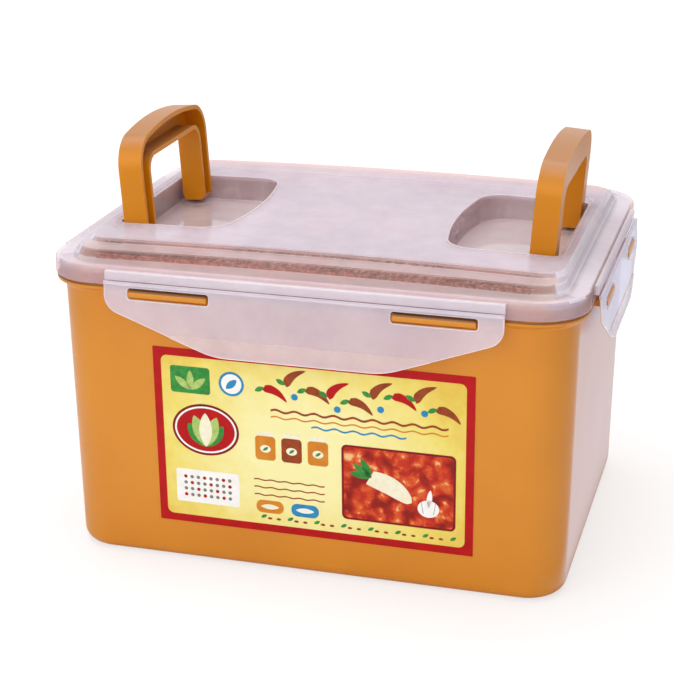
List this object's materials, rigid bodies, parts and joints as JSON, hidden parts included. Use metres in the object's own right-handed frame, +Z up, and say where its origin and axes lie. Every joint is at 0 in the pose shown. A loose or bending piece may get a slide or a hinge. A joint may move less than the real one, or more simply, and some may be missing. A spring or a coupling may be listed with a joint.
{
  "type": "lidded food keeper",
  "caption": "Tapered plastic tub with a stepped snap-latch lid, folding carry handles set in wells and an inner press plate, for salting and storing fermented vegetables.",
  "frame": {"origin": "centre of the bounding box at the underside of the foot", "axes": "+Z up, +X along the long side from the left handle to the right handle, -Y out of the wall that bears the label"},
  "size_m": [0.3532, 0.2802, 0.2644],
  "materials": {
    "tub": "satin moulded polypropylene, mustard orange",
    "lid": "frosted translucent polypropylene",
    "gasket": "soft translucent silicone",
    "press_plate": "dark speckled moulded plastic",
    "press_seal": "soft silicone",
    "label": "printed film, yellow field with a red border",
    "latch": "frosted translucent polypropylene",
    "handle": "satin moulded polypropylene, orange"
  },
  "bodies": {
    "keeper": {"tub": "tub", "lid": "lid", "lid_gasket": "gasket", "press_plate": "press_plate", "press_seal": "press_seal", "front_label": "label"},
    "front_latch": {"front_latch": "latch"},
    "back_latch": {"back_latch": "latch"},
    "left_latch": {"left_latch": "latch"},
    "right_latch": {"right_latch": "latch"},
    "left_handle": {"left_handle": "handle"},
    "right_handle": {"right_handle": "handle"}
  },
  "joints": [
    {"name": "front_latch_hinge", "type": "hinge", "parent": "keeper", "child": "front_latch", "pos_m": [0, -0.1357, 0.1893], "axis": [-1, 0, 0], "range_deg": [0, 135]},
    {"name": "back_latch_hinge", "type": "hinge", "parent": "keeper", "child": "back_latch", "pos_m": [0, 0.1357, 0.1893], "axis": [1, 0, 0], "range_deg": [0, 135]},
    {"name": "left_latch_hinge", "type": "hinge", "parent": "keeper", "child": "left_latch", "pos_m": [-0.1722, 0, 0.1893], "axis": [0, 1, 0], "range_deg": [0, 135]},
    {"name": "right_latch_hinge", "type": "hinge", "parent": "keeper", "child": "right_latch", "pos_m": [0.1722, 0, 0.1893], "axis": [0, -1, 0], "range_deg": [0, 135]},
    {"name": "left_handle_pivot", "type": "hinge", "parent": "keeper", "child": "left_handle", "pos_m": [-0.132, 0, 0.1998], "axis": [0, 1, 0], "range_deg": [0, 94]},
    {"name": "right_handle_pivot", "type": "hinge", "parent": "keeper", "child": "right_handle", "pos_m": [0.132, 0, 0.1998], "axis": [0, -1, 0], "range_deg": [0, 94]}
  ]
}
